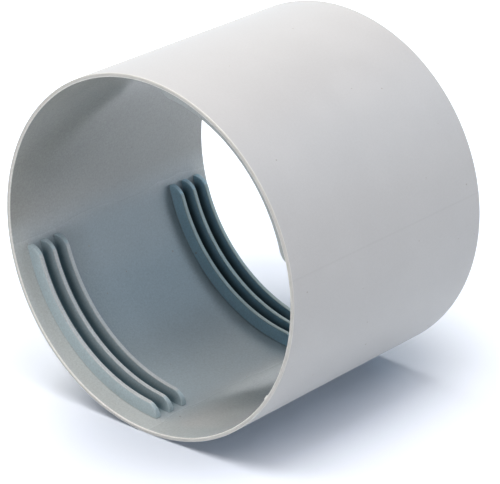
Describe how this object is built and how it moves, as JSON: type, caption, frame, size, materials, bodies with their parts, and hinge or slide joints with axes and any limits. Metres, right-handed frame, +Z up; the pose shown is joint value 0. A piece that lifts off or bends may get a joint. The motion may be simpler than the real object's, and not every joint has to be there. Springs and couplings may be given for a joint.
{
  "type": "duct connector",
  "caption": "Open round plastic sleeve with short screw-thread ridges inside each end; flexible air hoses screw in and are joined end to end.",
  "frame": {"origin": "centre of the lower rim's plane, on the bore's axis", "axes": "+Z up along the bore; the X axis runs through the middle of both groups of thread ridges; the part turned half a turn about Y at mid-length is the same"},
  "size_m": [0.1554, 0.1554, 0.122],
  "materials": {
    "grey_plastic": "light grey moulded plastic with a fine satin skin"
  },
  "bodies": {
    "root": {"duct_connector": "grey_plastic"}
  },
  "joints": []
}
